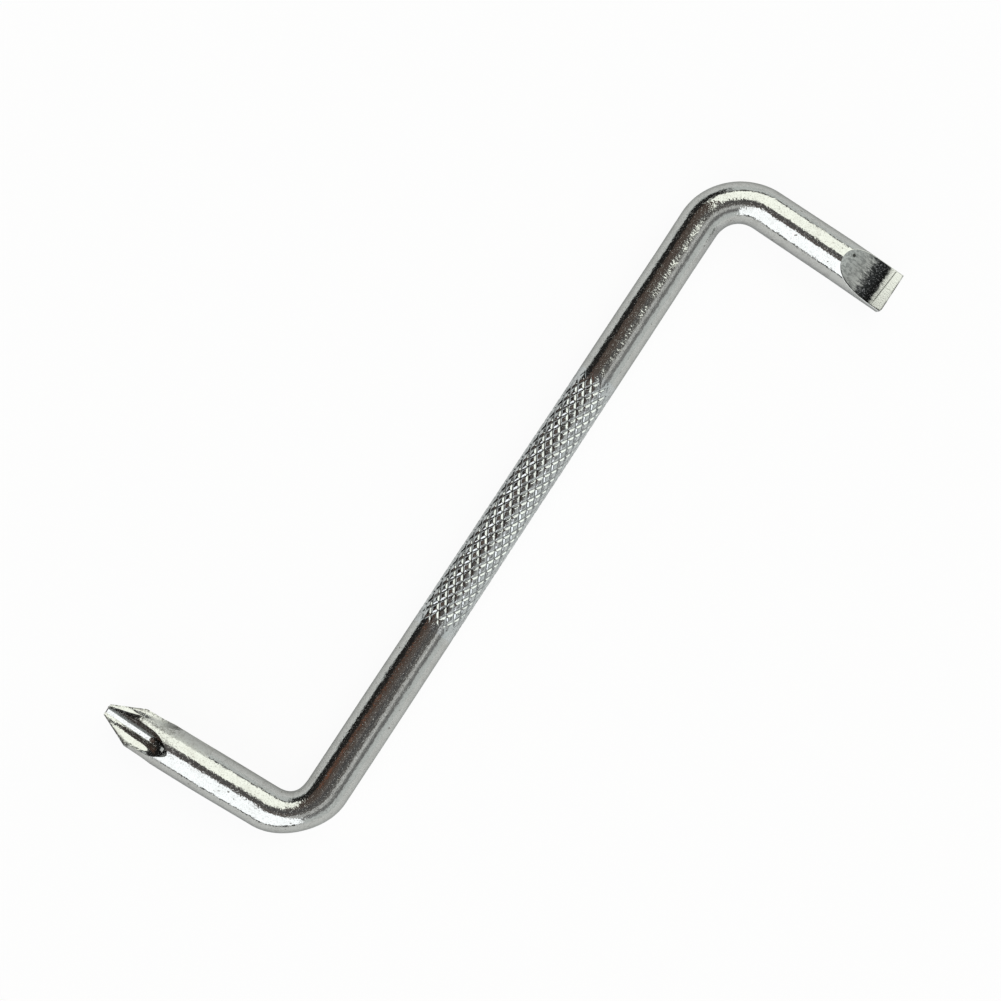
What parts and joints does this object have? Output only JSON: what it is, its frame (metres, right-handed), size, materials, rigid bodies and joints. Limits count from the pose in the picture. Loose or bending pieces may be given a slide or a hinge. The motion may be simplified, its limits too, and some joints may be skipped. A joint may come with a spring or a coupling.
{
  "type": "offset screwdriver",
  "caption": "Z-shaped offset screwdriver bent from round steel bar, with a hollow-ground slotted blade, a fluted cross point and a diamond-knurled grip.",
  "frame": {"origin": "middle of the knurled grip, on the shank's axis", "axes": "+X along the shank towards the slotted arm, +Z square to the plane of the two bends, so the cross point arm runs to +Y and the slotted arm to -Y"},
  "size_m": [0.1153, 0.0595, 0.0064],
  "materials": {
    "plating": "bright plating with fine pits and scratches",
    "knurl": "plated diamond knurl",
    "ground_steel": "ground lengthwise, plated"
  },
  "bodies": {
    "root": {"slotted_blade": "ground_steel", "slotted_arm": "plating", "slotted_bend": "plating", "slotted_shank": "plating", "knurled_grip": "knurl", "phillips_shank": "plating", "phillips_bend": "plating", "phillips_arm": "plating", "phillips_tip": "plating"}
  },
  "joints": []
}
